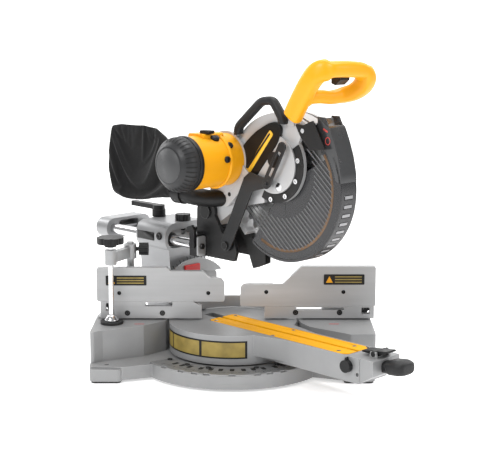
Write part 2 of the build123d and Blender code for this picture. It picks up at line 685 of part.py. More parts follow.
CAP_START = 143.0
with BuildPart() as motor_cap:
    disc(left(CAP_START), MOTOR, MOTOR_R + 0.6, 14)
    with BuildSketch(left(CAP_START + 14)) as rim:
        with Locations(MOTOR):
            Circle(MOTOR_R + 0.6)
    extrude(rim.sketch, amount=18, taper=32)
    for i in range(18):
        slot = polar(MOTOR, MOTOR_R - 6, i * 20)
        disc(left(CAP_START + 8), slot, 2.6, 30, mode=Mode.SUBTRACT)
save("motor_cap", motor_cap.part)

with BuildPart() as brush_caps:
    slab(left(88), [(20, 454.1), (44, 454.1), (44, 460), (20, 460)], 14, radius=2)
save("brush_cap", brush_caps.part)

with BuildPart() as head_screws:
    for centre in RING_SCREWS:
        disc(left(WALL_OUT), centre, 2.4, 2.5)
        disc(left(WALL_OUT + 2.5), centre, 4.5, 2.5)
        disc(left(WALL_OUT + 3.4), centre, 2.4, 2, mode=Mode.SUBTRACT)
    disc(left(WALL_OUT + 2.5), (206, 467), 4, 2.5)
save("head_screws", head_screws.part)

BAG_LEFT = 62.0
with BuildPart() as elbow:
    disc(left(WALL_OUT + 8), (25, 334), 15, 26)
    with BuildSketch(facing(-76)) as pipe:
        with Locations((-BAG_LEFT, 332)):
            Circle(17)
    extrude(pipe.sketch, amount=110)
    disc(left(WALL_OUT + 7), (25, 334), 10, 20, mode=Mode.SUBTRACT)
    with BuildSketch(facing(-77)) as bore:
        with Locations((-BAG_LEFT, 332)):
            Circle(12)
    extrude(bore.sketch, amount=104, mode=Mode.SUBTRACT)
save("dust_elbow", elbow.part)

with BuildPart() as bag:
    with BuildSketch(facing(-273)) as bag_rear:
        with Locations((-BAG_LEFT, 390)):
            RectangleRounded(70, 110, 30)
    with BuildSketch(facing(-190)) as bag_middle:
        with Locations((-BAG_LEFT, 384)):
            RectangleRounded(92, 134, 40)
    with BuildSketch(facing(-120)) as bag_front:
        with Locations((-BAG_LEFT, 376)):
            RectangleRounded(84, 122, 36)
    with BuildSketch(facing(-86)) as bag_neck:
        with Locations((-BAG_LEFT, 350)):
            RectangleRounded(60, 80, 28)
    loft([bag_rear.sketch, bag_middle.sketch, bag_front.sketch, bag_neck.sketch])
save("dust_bag", bag.part)

with BuildPart() as bag_collar:
    with BuildSketch(facing(-85.6)) as collar:
        with Locations((-BAG_LEFT, 332)):
            Circle(20)
    extrude(collar.sketch, amount=22)
    with BuildSketch(facing(-77)) as collar_bore:
        with Locations((-BAG_LEFT, 332)):
            Circle(17)
    extrude(collar_bore.sketch, amount=22, mode=Mode.SUBTRACT)
save("bag_collar", bag_collar.part)

CHUTE_HALF = 8.0
CHUTE_TOP = [(14, 283), (26, 291), (36, 281), (49, 265), (60, 254), (76, 242)]
CHUTE_LOW = [(92, 234), (92, 212), (61, 199), (44, 240)]
with BuildPart() as chute:
    slab(left(-CHUTE_HALF), CHUTE_TOP + CHUTE_LOW, 2 * CHUTE_HALF)
    passage = [(54, 264), (110, 240), (100, 195), (66, 204), (54, 242)]
    slab(left(-CHUTE_HALF + 2), passage, 2 * CHUTE_HALF - 4, mode=Mode.SUBTRACT)
save("dust_chute", chute.part)

# ---- blade and arbor --------------------------------------------------------
TEETH = 40
with BuildPart() as blade:
    disc(left(-1.2), ARBOR, BLADE_R, 2.4)
    with BuildSketch(left(-2)) as gullets:
        for i in range(TEETH):
            start = 360 * i / TEETH
            with BuildLine():
                Polyline(
                    polar(ARBOR, BLADE_R + 2, start),
                    polar(ARBOR, BLADE_R - 7, start + 0.8),
                    polar(ARBOR, BLADE_R - 7, start + 3.2),
                    polar(ARBOR, BLADE_R - 0.4, start + 6.0),
                    polar(ARBOR, BLADE_R + 2, start + 6.0),
                    close=True,
                )
            make_face()
    extrude(gullets.sketch, amount=4, mode=Mode.SUBTRACT)
    disc(left(-2), ARBOR, 7.95, 4, mode=Mode.SUBTRACT)
save("saw_blade", blade.part)

with BuildPart() as shaft:
    disc(left(-13), ARBOR, 7.9, 45)
save("arbor_shaft", shaft.part)

with BuildPart() as flanges:
    for start in (1.2, -6.2):
        disc(left(start), ARBOR, 22, 5)
        disc(left(start - 1), ARBOR, 7.95, 7, mode=Mode.SUBTRACT)
save("blade_flanges", flanges.part)

with BuildPart() as arbor_bolt:
    disc(left(-15), ARBOR, 12, 2)
    with BuildSketch(left(-22)) as hexagon:
        with Locations(ARBOR):
            RegularPolygon(9, 6)
    extrude(hexagon.sketch, amount=7)
save("arbor_bolt", arbor_bolt.part)

# ---- lower guard ------------------------------------------------------------
GUARD_R = 136.5
GUARD_START, GUARD_STOP = -126.0, 30.0
SHIELD_IN, SHIELD_OUT = 16.5, 19.5
FLARE = [(281, 415), (267, 454), (246, 492), (228, 492), (236, 430), (262, 410)]
with BuildPart() as lower_guard:
    with BuildSketch(left(-SHIELD_OUT)) as shield:
        ring_sector(38, GUARD_R, GUARD_START, GUARD_STOP)
        outline_face(FLARE)
        with Locations(ARBOR):
            Circle(42)
            Circle(28, mode=Mode.SUBTRACT)
    extrude(shield.sketch, amount=SHIELD_OUT - SHIELD_IN)
    near_shield = shield.sketch.translate((-(SHIELD_OUT + SHIELD_IN), 0, 0))
    extrude(near_shield, amount=SHIELD_OUT - SHIELD_IN)
    with BuildSketch(left(-SHIELD_IN)) as shield_rim:
        ring_sector(133.5, GUARD_R, GUARD_START, GUARD_STOP)
    extrude(shield_rim.sketch, amount=2 * SHIELD_IN)
    with BuildSketch(left(-11)) as slots:
        for angle in range(-80, 4, 7):
            with Locations(polar(ARBOR, 135, angle)):
                Rectangle(8, 8, rotation=angle)
    extrude(slots.sketch, amount=22, mode=Mode.SUBTRACT)
save("lower_guard", lower_guard.part)

# ---- guard linkage ----------------------------------------------------------
LINK_IN = 39.0
with BuildPart() as link:
    disc(left(LINK_IN), LINK_FOOT, 11, 3)
    arm = [(11, 247), (34, 237), (92, 350), (131, 361), (131, 376), (86, 385), (72, 374)]
    slab(left(LINK_IN), arm, 3, radius=1)
    disc(left(LINK_IN), LINK_PIN, 7, 3)
    disc(left(LINK_IN - 1), LINK_FOOT, 4.05, 6, mode=Mode.SUBTRACT)
    disc(left(LINK_IN - 1), LINK_PIN, 3.05, 6, mode=Mode.SUBTRACT)
save("guard_link", link.part)

with BuildPart() as foot_pin:
    disc(left(CHEEK_IN), LINK_FOOT, 4, 15.5)
    disc(left(LINK_IN + 3.4), LINK_FOOT, 7, 3)
save("link_foot_pin", foot_pin.part)

LEVER_FAR = (169.0, 437.0)
with BuildPart() as slotted_lever:
    with BuildSketch(left(LINK_IN + 4.5)) as lever_face:
        with BuildLine():
            Polyline(LINK_PIN, LEVER_FAR)
        trace(line_width=18)
        with Locations(LINK_PIN, LEVER_FAR):
            Circle(9)
        with BuildLine():
            Polyline((139, 382), (164, 428))
        trace(line_width=7, mode=Mode.SUBTRACT)
    extrude(lever_face.sketch, amount=2.5)
    disc(left(LINK_IN), LINK_PIN, 3, 9.5)
save("slotted_lever", slotted_lever.part)
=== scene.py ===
import json
import math
import bpy
import bmesh
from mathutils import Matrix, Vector, noise


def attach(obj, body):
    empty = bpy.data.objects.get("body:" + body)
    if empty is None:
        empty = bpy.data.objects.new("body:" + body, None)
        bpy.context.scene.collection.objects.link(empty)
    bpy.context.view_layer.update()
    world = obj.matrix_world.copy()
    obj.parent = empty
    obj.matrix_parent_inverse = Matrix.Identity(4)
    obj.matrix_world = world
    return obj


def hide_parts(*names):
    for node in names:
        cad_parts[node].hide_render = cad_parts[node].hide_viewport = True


# Looks of the sliding mitre saw: materials, stage and camera, then the visible pieces that stand for
# plain CAD solids or add small detail to them. Pieces are drawn in millimetres.
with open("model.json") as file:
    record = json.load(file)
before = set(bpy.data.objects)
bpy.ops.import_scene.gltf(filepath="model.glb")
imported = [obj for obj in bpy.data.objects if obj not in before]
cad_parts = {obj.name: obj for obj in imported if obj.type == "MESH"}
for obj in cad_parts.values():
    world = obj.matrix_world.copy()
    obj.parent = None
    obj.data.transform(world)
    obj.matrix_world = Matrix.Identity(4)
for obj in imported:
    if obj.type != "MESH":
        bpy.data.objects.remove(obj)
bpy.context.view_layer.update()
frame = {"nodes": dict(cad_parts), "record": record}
nodes = frame["nodes"]

MM = 0.001  # metres in a millimetre
# At rest the head is swung 45 degrees: f runs to its front, n to its operator's left.
SWING = math.sqrt(0.5)
ARBOR = (149.0, 363.0)  # blade centre in the head's side view (f, z)
MOTOR = (18.0, 402.0)  # motor axis in the same view
TABLE_TOP = 89.0
ALONG_N = (0, 1, 0)
UP = (0, 0, 1)


# ---- materials --------------------------------------------------------------
# Sizes of the surface effects, in metres.
HOLLOW_REACH = 0.008
WORN_EDGE = 0.0011
GRIT_DEPTH = 0.0006
WEAVE_DEPTH = 0.0003
HAZE_DEPTH = 0.001


class Shader:
    """A node material under construction."""

    def __init__(self, name):
        self.material = bpy.data.materials.new(name)
        self.material.use_nodes = True
        self.tree = self.material.node_tree
        self.tree.nodes.clear()
        self.output = self.node("OutputMaterial")

    def node(self, kind, constants=None):
        """Add a node and set its constant inputs."""
        added = self.tree.nodes.new("ShaderNode" + kind)
        for socket, value in (constants or {}).items():
            added.inputs[socket].default_value = value
        return added

    def link(self, source, target):
        self.tree.links.new(source, target)

    def noise(self, vector, constants):
        added = self.node("TexNoise", constants)
        self.link(vector, added.inputs["Vector"])
        return added.outputs["Fac"]

    def map_range(self, value, constants):
        added = self.node("MapRange", constants)
        self.link(value, added.inputs["Value"])
        return added.outputs[0]

    def ramp(self, value, dark, light, start=0.0, stop=1.0):
        added = self.node("ValToRGB")
        first, last = added.color_ramp.elements
        first.position = start
        last.position = stop
        first.color = (*dark, 1)
        last.color = (*light, 1)
        self.link(value, added.inputs[0])
        return added.outputs[0]

    def mix_colour(self, factor, colour, other):
        """Colour turned into another, constant one where the factor is high."""
        added = self.node("Mix")
        added.data_type = "RGBA"
        self.link(factor, added.inputs["Factor"])
        self.link(colour, added.inputs["A"])
        added.inputs["B"].default_value = (*other, 1)
        return added.outputs["Result"]

    def bump(self, height, strength, distance, under=None):
        added = self.node("Bump", {"Strength": strength, "Distance": distance})
        self.link(height, added.inputs["Height"])
        if under:
            self.link(under, added.inputs["Normal"])
        return added.outputs[0]


def shade_in_hollows(shader, colour, amount, dust):
    """Painted shade: a darker copy of the colour where nearby faces shut out the light; the last argument
    is that shade colour.
    """
    hollow = shader.node("AmbientOcclusion", {"Distance": HOLLOW_REACH})
    hollow.samples = 4
    factor = shader.map_range(hollow.outputs["AO"], {
        "From Min": 0.3, "From Max": 0.9, "To Min": amount, "To Max": 0})
    return shader.mix_colour(factor, colour, dust)


def worn_edges(shader, colour, grit, bare):
    """Bare colour where a rounded normal leaves the true one, broken up by the grit."""
    rounded = shader.node("Bevel", {"Radius": WORN_EDGE})
    rounded.samples = 4
    true = shader.node("NewGeometry")
    match = shader.node("VectorMath")
    match.operation = "DOT_PRODUCT"
    shader.link(rounded.outputs[0], match.inputs[0])
    shader.link(true.outputs["Normal"], match.inputs[1])
    edge = shader.map_range(match.outputs["Value"], {"From Min": 0.985, "From Max": 0.9})
    patchy = shader.node("Math")
    patchy.operation = "MULTIPLY"
    shader.link(edge, patchy.inputs[0])
    shader.link(grit, patchy.inputs[1])
    return shader.mix_colour(patchy.outputs[0], colour, bare)


# Colour darkened in hollows is painted shade; its amount is given per surface.
def material(name, base, rough=0.5, metal=0.0, vary=0.08, grain=60.0, bump=0.1, wear=None,
             coat=0.0, coat_rough=0.2, stretch=(1, 1, 1), rough_vary=0.12, fine=900.0, fine_bump=0.0,
             hollow_shade=0.25, sheen=0.0, shine=0.5):
    """Procedural surface: blotchy colour, uneven roughness, grain bump, worn edges, painted shade in
    hollows.
    """
    shader = Shader(name)
    surface = shader.node("BsdfPrincipled", {
        "Metallic": metal, "Coat Weight": coat, "Coat Roughness": coat_rough,
        "Sheen Weight": sheen, "Specular IOR Level": shine})
    shader.link(surface.outputs[0], shader.output.inputs[0])
    mapping = shader.node("Mapping", {"Scale": stretch})
    shader.link(shader.node("TexCoord").outputs["Object"], mapping.inputs[0])
    vector = mapping.outputs[0]
    blotches = shader.noise(vector, {"Scale": grain * 0.25, "Detail": 5})
    grit = shader.noise(vector, {"Scale": grain * 4, "Detail": 6})
    dark = [c * (1 - vary) for c in base]
    light = [min(1, c * (1 + vary)) for c in base]
    colour = shader.ramp(blotches, dark, light, 0.3, 0.7)
    # painted shade: a quarter-bright copy of the base colour, mixed in where hollows shut out the light
    if hollow_shade:
        colour = shade_in_hollows(shader, colour, hollow_shade, [c * 0.25 for c in base])
    if wear:
        colour = worn_edges(shader, colour, grit, wear)
    shader.link(colour, surface.inputs["Base Color"])
    roughness = shader.map_range(grit, {
        "To Min": max(0.03, rough - rough_vary), "To Max": min(1, rough + rough_vary)})
    shader.link(roughness, surface.inputs["Roughness"])
    normal = shader.bump(grit, bump, GRIT_DEPTH)
    if fine_bump:
        weave = shader.noise(vector, {"Scale": fine})
        normal = shader.bump(weave, fine_bump, WEAVE_DEPTH, normal)
    shader.link(normal, surface.inputs["Normal"])
    return shader.material


def smoked_plastic():
    """Dark see-through plastic of the lower guard."""
    shader = Shader("smoked_guard")
    surface = shader.node("BsdfPrincipled")
    clear = shader.node("BsdfTransparent", {"Color": (0.6, 0.6, 0.61, 1)})
    haze = shader.noise(shader.node("TexCoord").outputs["Object"], {"Scale": 14, "Detail": 6})
    colour = shader.ramp(haze, (0.028, 0.028, 0.03), (0.05, 0.05, 0.053))
    shader.link(colour, surface.inputs["Base Color"])
    shader.link(shader.map_range(haze, {"To Min": 0.16, "To Max": 0.34}), surface.inputs["Roughness"])
    shader.link(shader.bump(haze, 0.02, HAZE_DEPTH), surface.inputs["Normal"])
    mix = shader.node("MixShader")
    shader.link(shader.map_range(haze, {"To Min": 0.84, "To Max": 0.9}), mix.inputs[0])
    shader.link(clear.outputs[0], mix.inputs[1])
    shader.link(surface.outputs[0], mix.inputs[2])
    shader.link(mix.outputs[0], shader.output.inputs[0])
    return shader.material


def grey(level):
    return (level, level, level)


# Each surface's amount of hollow darkening is painted shade.
SURFACES = {
    # castings and painted metal
    "cast_grey": dict(base=(0.285, 0.287, 0.29), metal=0.2, vary=0.07, grain=70, bump=0.2,
                      wear=grey(0.6), fine_bump=0.25),
    "table_paint": dict(base=(0.31, 0.313, 0.317), rough=0.45, metal=0.3, vary=0.06, grain=70,
                        bump=0.12, wear=grey(0.65), fine_bump=0.15),
    "fence_paint": dict(base=(0.40, 0.403, 0.408), rough=0.42, metal=0.25, vary=0.07, bump=0.14,
                        wear=grey(0.75), stretch=(0.3, 1, 4)),
    "silver_paint": dict(base=(0.50, 0.503, 0.51), rough=0.42, metal=0.3, vary=0.05, bump=0.08,
                         wear=grey(0.75), coat=0.15),
    "housing_silver": dict(base=(0.33, 0.333, 0.34), rough=0.36, metal=0.55, vary=0.06,
                           wear=grey(0.7)),
    "black_paint": dict(base=(0.009, 0.009, 0.0095), rough=0.38, vary=0.15, bump=0.12,
                        wear=grey(0.09), fine_bump=0.2, shine=0.35),
    "link_paint": dict(base=(0.013, 0.0135, 0.0145), rough=0.42, vary=0.12, bump=0.08,
                       wear=grey(0.15), shine=0.35),
    # bare and blackened steel
    "scale_steel": dict(base=(0.29, 0.292, 0.295), rough=0.38, metal=0.5, vary=0.06, bump=0.08,
                        wear=grey(0.7)),
    "bright_steel": dict(base=(0.72, 0.72, 0.73), rough=0.16, metal=1.0, vary=0.04, grain=50,
                         bump=0.03, rough_vary=0.05),
    "clamp_steel": dict(base=(0.37, 0.375, 0.38), rough=0.4, metal=0.6, vary=0.06, bump=0.15,
                        wear=grey(0.8)),
    "blade_steel": dict(base=grey(0.5), rough=0.3, metal=1.0, bump=0.06),
    "black_screw": dict(base=grey(0.02), rough=0.35, metal=0.6, vary=0.15, wear=grey(0.3)),
    # plastic, rubber and cloth
    "black_plastic": dict(base=(0.0085, 0.0087, 0.0092), rough=0.42, vary=0.15, grain=50,
                          wear=grey(0.04), fine_bump=0.3, shine=0.3),
    "grip_black": dict(base=(0.011, 0.0112, 0.012), vary=0.15, wear=grey(0.05), fine_bump=0.5,
                       shine=0.35),
    "cap_grey": dict(base=(0.024, 0.0245, 0.026), rough=0.42, vary=0.1, bump=0.08, wear=grey(0.09),
                     hollow_shade=0.2, shine=0.35),
    "hood_black": dict(base=(0.035, 0.036, 0.038), rough=0.22, vary=0.15, grain=50, bump=0.05,
                       coat=0.5, coat_rough=0.12),
    "yellow_plastic": dict(base=(0.88, 0.385, 0.006), rough=0.4, vary=0.03, grain=40, bump=0.04,
                           wear=(1.0, 0.55, 0.04), coat=0.1, fine_bump=0.06, hollow_shade=0.3, shine=0.3),
    "kerf_yellow": dict(base=(0.9, 0.42, 0.01), rough=0.6, vary=0.05, grain=40, bump=0.08,
                        fine_bump=0.15, hollow_shade=0.3, shine=0.12),
    "red_plastic": dict(base=(0.6, 0.02, 0.02), rough=0.35, vary=0.05, grain=40, bump=0.05),
    "rubber_black": dict(base=grey(0.014), rough=0.62, vary=0.2, bump=0.2, fine_bump=0.3),
    "bag_fabric": dict(base=(0.009, 0.009, 0.0095), rough=0.82, vary=0.25, grain=40, bump=0.2,
                       fine=1800, fine_bump=0.8, sheen=0.06, hollow_shade=0.3, shine=0.2),
    # printed marks, small trim, and dark strips of painted shade for slots and notches
    "panel_black": dict(base=grey(0.008), rough=0.35, vary=0.1, bump=0.04, hollow_shade=0.0, shine=0.25),
    "panel_gold": dict(base=(0.30, 0.22, 0.05), vary=0.25, grain=160, bump=0.05, hollow_shade=0.0),
    "panel_stripe": dict(base=(0.9, 0.5, 0.02), rough=0.4, vary=0.05, bump=0.04, hollow_shade=0.0),
    "rib_grey": dict(base=(0.13, 0.13, 0.135), rough=0.3, vary=0.1, bump=0.05, hollow_shade=0.0),
    "slot_grey": dict(base=(0.3, 0.3, 0.31), rough=0.35, vary=0.1, bump=0.04, hollow_shade=0.0),
    "badge_grey": dict(base=(0.065, 0.066, 0.068), rough=0.45, vary=0.1, bump=0.05, hollow_shade=0.0,
                       shine=0.3),
    "mark_red": dict(base=(0.55, 0.06, 0.05), vary=0.1, bump=0.05, hollow_shade=0.0),
    "brown_trim": dict(base=(0.16, 0.09, 0.045), vary=0.2, hollow_shade=0.0),
    # dark marks: print for the scale ticks, painted shade for the vent slots and notches
    "dark_print_and_shade": dict(base=grey(0.01), rough=0.8, vary=0.1, bump=0.05, hollow_shade=0.0),
}
MATERIALS = {name: material(name, **surface) for name, surface in SURFACES.items()}
MATERIALS["smoked_guard"] = smoked_plastic()

# CAD nodes that look different from the slot in their record.
NODE_LOOKS = {
    "detent_latch": "black_plastic",
    "pivot_pin": "black_screw",
    "bearing_housing": "housing_silver",
    "rail_end_cap": "housing_silver",
    "kerf_plate_left": "kerf_yellow",
    "kerf_plate_right": "kerf_yellow",
}


def dress_cad_nodes():
    """Give each CAD node its material, soft edges and even shading."""
    slots = {part["node"]: part["material_slot"] for part in frame["record"]["subparts"]}
    for name, node in nodes.items():
        node.data.materials.clear()
        node.data.materials.append(MATERIALS[NODE_LOOKS.get(name, slots[name])])
        for face in node.data.polygons:
            face.use_smooth = True
        weld = node.modifiers.new("weld", "WELD")
        weld.merge_threshold = 0.00002
        edges = node.modifiers.new("edges", "BEVEL")
        edges.width = 0.0002 if name == "saw_blade" else 0.0009
        edges.segments = 2
        edges.limit_method = "ANGLE"
        edges.angle_limit = math.radians(38)
        edges.harden_normals = True
        edges.use_clamp_overlap = True
        normals = node.modifiers.new("normals", "WEIGHTED_NORMAL")
        normals.mode = "FACE_AREA"
        normals.weight = 60


# ---- stage, lights and camera -----------------------------------------------
def add_floor():
    """White floor that curves up into a backdrop."""
    profile = [(-4, 0), (2.0, 0), (2.6, 0.12), (3.0, 0.6), (3.1, 1.5), (3.1, 4)]
    count = len(profile)
    verts = [(x, y, z) for x in (-6, 6) for y, z in profile]
    faces = [(i, count + i, count + i + 1, i + 1) for i in range(count - 1)]
    mesh = bpy.data.meshes.new("floor")
    mesh.from_pydata(verts, [], faces)
    for face in mesh.polygons:
        face.use_smooth = True
    floor = bpy.data.objects.new("floor", mesh)
    bpy.context.scene.collection.objects.link(floor)
    paper = bpy.data.materials.new("floor")
    paper.use_nodes = True
    surface = paper.node_tree.nodes["Principled BSDF"]
    surface.inputs["Base Color"].default_value = (0.92, 0.92, 0.92, 1)
    surface.inputs["Roughness"].default_value = 0.75
    surface.inputs["Emission Color"].default_value = (1, 1, 1, 1)
    surface.inputs["Emission Strength"].default_value = 0.45
    mesh.materials.append(paper)


def add_light(name, place, target, size, power):
    data = bpy.data.lights.new(name, "AREA")
    data.shape = "RECTANGLE"
    data.size, data.size_y = size
    data.energy = power
    light = bpy.data.objects.new(name, data)
    light.location = place
    light.rotation_euler = (Vector(target) - Vector(place)).to_track_quat("-Z", "Y").to_euler()
    bpy.context.scene.collection.objects.link(light)


def add_lights():
    add_light("key", (-1.6, -2.2, 2.2), (0, 0, 0.3), (1.3, 1.0), 52)
    add_light("fill", (2.3, -1.8, 1.4), (0, 0, 0.3), (1.2, 1.2), 16)
    add_light("top", (0.2, 0.2, 2.6), (0, 0, 0.2), (1.8, 1.4), 46)
    add_light("back_left", (-2.2, 1.6, 1.6), (0, 0, 0.3), (0.8, 1.6), 22)
    add_light("back_right", (2.2, 1.6, 1.4), (0, 0, 0.3), (1.2, 1.6), 26)
    world = bpy.data.worlds.new("world")
    world.use_nodes = True
    background = world.node_tree.nodes["Background"]
    background.inputs["Color"].default_value = (1, 1, 1, 1)
    background.inputs["Strength"].default_value = 0.42
    bpy.context.scene.world = world


def add_camera():
    """Long lens in front of the saw, a little above it and tilted down."""
    tilt_down = 10.03
    data = bpy.data.cameras.new("camera")
    data.lens = 93.6
    data.sensor_width = 36
    camera = bpy.data.objects.new("camera", data)
    camera.location = (0.03219, -2.40626, 0.69787)
    camera.rotation_euler = (math.radians(90 - tilt_down), 0, 0)
    bpy.context.scene.collection.objects.link(camera)
    bpy.context.scene.camera = camera
    bpy.context.scene.view_settings.view_transform = "Standard"


# ---- outlines and paths -----------------------------------------------------
def polar(centre, radius, angle):
    turn = math.radians(angle)
    return (centre[0] + radius * math.cos(turn), centre[1] + radius * math.sin(turn))


def arc(centre, radius, start, stop, steps):
    return [polar(centre, radius, start + (stop - start) * i / steps) for i in range(steps + 1)]


def rectangle(left, bottom, right, top):
    return [(left, bottom), (right, bottom), (right, top), (left, top)]


def round_outline(points, radius, steps=5):
    """Replace each corner of a closed outline by a curve."""
    rounded = []
    for i, point in enumerate(points):
        corner = Vector(point)
        back = Vector(points[i - 1]) - corner
        ahead = Vector(points[(i + 1) % len(points)]) - corner
        cut = min(radius, back.length * 0.45, ahead.length * 0.45)
        enter = corner + back.normalized() * cut
        leave = corner + ahead.normalized() * cut
        for j in range(steps + 1):
            t = j / steps
            rounded.append(tuple((1 - t) ** 2 * enter + 2 * t * (1 - t) * corner + t * t * leave))
    return rounded


def smooth_path(points, steps):
    """Points along a Catmull-Rom curve through the given ones."""
    knots = [Vector(p) for p in points]
    last = len(knots) - 1
    path = []
    for i in range(last):
        p0, p1, p2, p3 = knots[max(i - 1, 0)], knots[i], knots[i + 1], knots[min(i + 2, last)]
        for j in range(steps):
            t = j / steps
            bend = (2 * p0 - 5 * p1 + 4 * p2 - p3) * t * t
            twist = (3 * p1 - p0 - 3 * p2 + p3) * t ** 3
            path.append(0.5 * ((2 * p1) + (p2 - p0) * t + bend + twist))
    path.append(knots[-1])
    return path


def between(values, t):
    """Read a list at a fractional place, in straight lines between its entries."""
    i = min(int(t), len(values) - 2)
    return values[i] * (1 - t + i) + values[i + 1] * (t - i)


def smooth_stations(stations, steps):
    """Smooth the points of (point, width, ...) stations and read the widths between them."""
    points, *widths = zip(*stations)
    path = smooth_path(points, steps)
    return [(p, *(between(column, i / steps) for column in widths)) for i, p in enumerate(path)]


# ---- mesh helpers -----------------------------------------------------------
def on_head(point):
    """(f, n, z) in millimetres on the head to metres in the shared frame."""
    f, n, z = point
    return Vector((SWING * f - SWING * n, -SWING * f - SWING * n, z)) * MM


def in_frame(point):
    """(x, y, z) in millimetres to metres in the shared frame."""
    return Vector(point) * MM


def add_subdivision(piece):
    smooth = piece.modifiers.new("smooth", "SUBSURF")
    smooth.levels = 1
    smooth.render_levels = 1


def new_mesh(name, verts, faces, look, body, place=on_head, bevel=0.0, smooth=True, subdivide=False,
             slot=None):
    mesh = bpy.data.meshes.new(name)
    mesh.from_pydata([place(v) for v in verts], [], faces)
    outward = bmesh.new()
    outward.from_mesh(mesh)
    bmesh.ops.recalc_face_normals(outward, faces=outward.faces)
    outward.to_mesh(mesh)
    outward.free()
    piece = bpy.data.objects.new(name, mesh)
    bpy.context.scene.collection.objects.link(piece)
    mesh.materials.append(MATERIALS[look])
    if smooth:
        for face in mesh.polygons:
            face.use_smooth = True
    if bevel:
        edges = piece.modifiers.new("edges", "BEVEL")
        edges.width = bevel * MM
        edges.segments = 3
        edges.limit_method = "ANGLE"
        edges.angle_limit = math.radians(35)
        edges.harden_normals = True
    if subdivide:
        add_subdivision(piece)
    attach(piece, body)
    return piece


def prism_faces(count, first=0):
    """Two ends and the sides between them, for two rings of count vertices each."""
    faces = [list(range(first, first + count)),
             list(range(first + 2 * count - 1, first + count - 1, -1))]
    for i in range(count):
        a, b = first + i, first + (i + 1) % count
        faces.append((a, b, b + count, a + count))
    return faces


def prism(name, outline, near, far, look, body, **options):
    """Outline in the side view (f, z), or the front view (x, z), pushed from near to far."""
    verts = [(u, depth, z) for depth in (near, far) for u, z in outline]
    return new_mesh(name, verts, prism_faces(len(outline)), look, body, **options)


def tube_faces(rings, sides):
    """Skin of a tube made of rings of vertices, closed at both ends."""
    faces = []
    for j in range(rings - 1):
        for i in range(sides):
            a, b = j * sides + i, j * sides + (i + 1) % sides
            faces.append((a, b, b + sides, a + sides))
    faces.append(list(range(sides)))
    faces.append(list(range(rings * sides - 1, (rings - 1) * sides - 1, -1)))
    return faces


def lathe(name, profile, origin, axis, look, body, sides=40, **options):
    """Turned piece: profile of (distance along the axis, radius)."""
    along = Vector(axis).normalized()
    side = along.orthogonal().normalized()
    up = along.cross(side)
    verts = []
    for distance, radius in profile:
        for i in range(sides):
            t = 2 * math.pi * i / sides
            around = side * radius * math.cos(t) + up * radius * math.sin(t)
            verts.append(Vector(origin) + along * distance + around)
    return new_mesh(name, verts, tube_faces(len(profile), sides), look, body, **options)


def squircle(turn, power):
    """Point on a rounded square, between a circle at power 2 and a square at a high one."""
    c, s = math.cos(turn), math.sin(turn)
    return math.copysign(abs(c) ** (2 / power), c), math.copysign(abs(s) ** (2 / power), s)


def untwist(ring, previous):
    """Start a ring at the vertex that lines up best with the ring before it."""
    sides = len(ring)

    def drift(shift):
        return sum((ring[(j + shift) % sides] - previous[j]).length for j in range(0, sides, 3))

    best = min(range(sides), key=drift)
    return [ring[(j + best) % sides] for j in range(sides)]


def sweep(name, stations, look, body, sides=20, power=2.6, **options):
    """Rounded bar along (point, half width in the side view, half width across)."""
    points = [Vector(station[0]) for station in stations]
    last = len(points) - 1
    rings = []
    for i, (_, wide, across) in enumerate(stations):
        along = (points[min(i + 1, last)] - points[max(i - 1, 0)]).normalized()
        reference = Vector(ALONG_N) if abs(along.y) < 0.8 else Vector(UP)
        u = reference.cross(along).normalized()
        v = along.cross(u).normalized()
        ring = []
        for j in range(sides):
            c, s = squircle(2 * math.pi * j / sides, power)
            ring.append(points[i] + u * wide * c + v * across * s)
        rings.append(untwist(ring, rings[-1]) if rings else ring)
    verts = [v for ring in rings for v in ring]
    return new_mesh(name, verts, tube_faces(len(rings), sides), look, body, **options)


def ribbons(name, strips, look, body, smooth=False, **options):
    """Flat marks, each a strip of vertex pairs with a face from one pair to the next."""
    verts, faces = [], []
    for strip in strips:
        for a in range(len(verts), len(verts) + 2 * len(strip) - 2, 2):
            faces.append((a, a + 1, a + 3, a + 2))
        verts += [vertex for pair in strip for vertex in pair]
    return new_mesh(name, verts, faces, look, body, smooth=smooth, **options)


def spoke(angle, stations, z):
    """Strip pointing away from the turntable's axis: stations of (radius, half width)."""
    turn = math.radians(angle)
    c, s = math.cos(turn), math.sin(turn)
    return [[(r * c - w * s, r * s + w * c, z) for w in (-half, half)] for r, half in stations]


# ---- handles ----------------------------------------------------------------
def d_handle():
    """Main handle: one bar that rises from the head, goes round and comes back to its own neck."""
    stations = [
        ((186, 38, 488), 18, 12), ((208, 41, 520), 18.5, 13), ((232, 43, 552), 18.5, 14),
        ((248, 41, 569), 19, 14), ((262, 32, 574), 19, 14), ((272, 12, 575), 19, 14),
        ((278, -10, 574), 19, 14), ((282, -30, 571), 19, 14), ((284, -42, 560), 19, 14),
        ((274, -45, 545), 17, 14), ((258, -41, 533), 15, 14), ((242, -28, 527), 14, 13),
        ((233, -8, 524), 13, 12), ((227, 12, 526), 13, 12), ((220, 31, 525), 13, 12),
        ((212, 41, 517), 12, 11)]
    handle = sweep("handle_loop", smooth_stations(stations, 5), "yellow_plastic", "head", sides=24,
                   power=2.9, subdivide=True, slot="yellow_plastic")
    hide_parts("handle_left", "handle_right")


def carry_handle():
    """Black bow handle over the top of the head."""
    corners = [(50, 446), (52, 464), (110, 513), (138, 516), (160, 488), (163, 474)]
    path = round_outline(corners, 9)[3:-3]
    stations = [(Vector((f, 35, z)), 8, 8.5) for f, z in path]
    loop = sweep("carry_loop", stations, "grip_black", "head", sides=18, subdivide=True,
                 slot="black_plastic")
    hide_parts("carry_handle")


